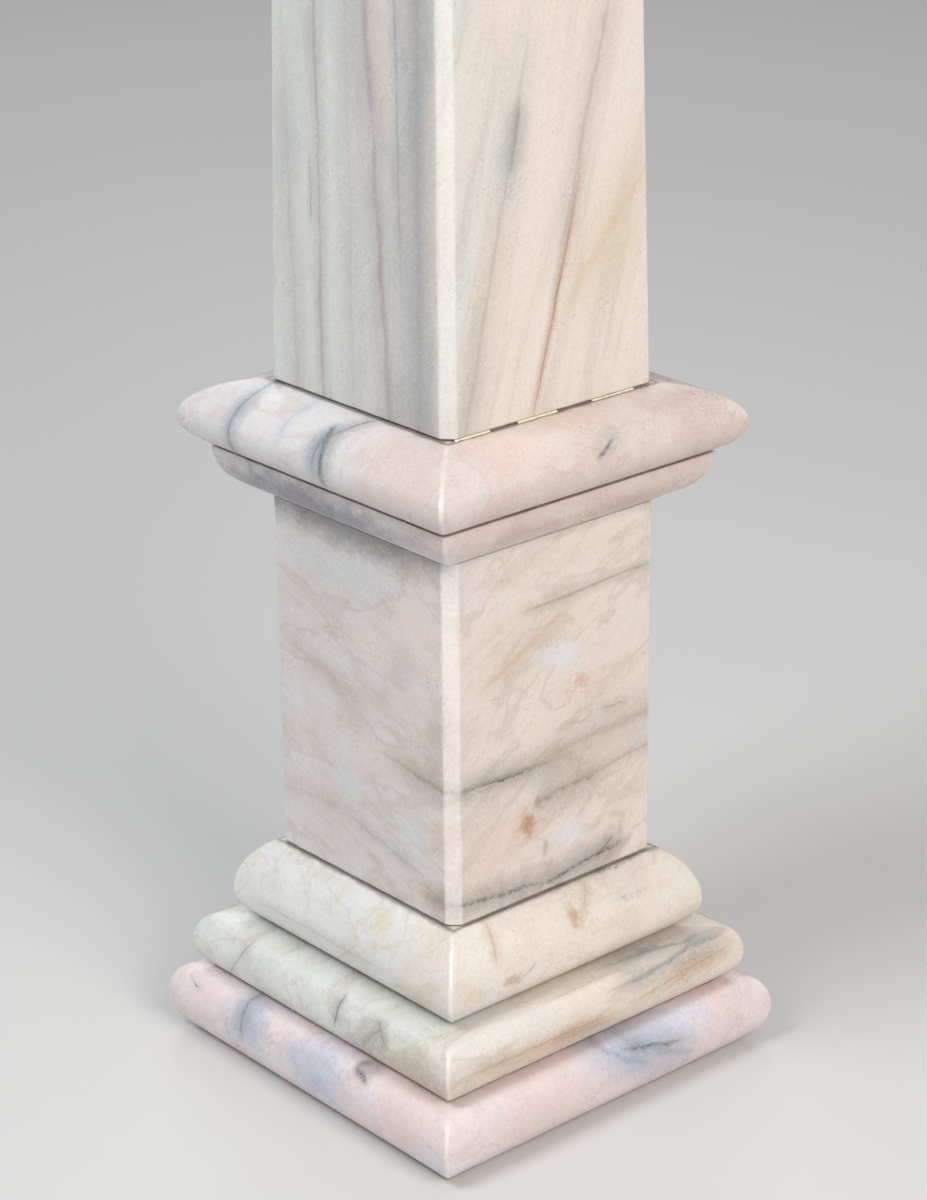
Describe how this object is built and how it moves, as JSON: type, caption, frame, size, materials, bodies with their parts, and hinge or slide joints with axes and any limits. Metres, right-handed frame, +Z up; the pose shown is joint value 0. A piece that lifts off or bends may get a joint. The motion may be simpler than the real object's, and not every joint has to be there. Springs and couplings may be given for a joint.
{
  "type": "obelisk",
  "caption": "Marble obelisk: a tapered square shaft with a pointed tip, on a moulded square pedestal with stepped plinth slabs.",
  "frame": {"origin": "centre of the underside of the lowest slab, on the ground", "axes": "+Z up along the shaft; X and Y square to the faces"},
  "size_m": [0.181, 0.181, 1.626],
  "materials": {
    "base_slab": "polished pink marble",
    "middle_slab": "polished tan-veined marble",
    "upper_slab": "polished ivory marble",
    "die": "polished rose-grey marble",
    "cornice": "polished pale pink marble",
    "shaft": "polished cream-grey marble",
    "bed": "grimed mastic"
  },
  "bodies": {
    "root": {"base_slab": "base_slab", "base_bed": "bed", "middle_slab": "middle_slab", "middle_bed": "bed", "upper_slab": "upper_slab", "die_bed": "bed", "die": "die", "cornice_bed": "bed", "cornice": "cornice", "shaft_bed": "bed", "shaft": "shaft"}
  },
  "joints": []
}
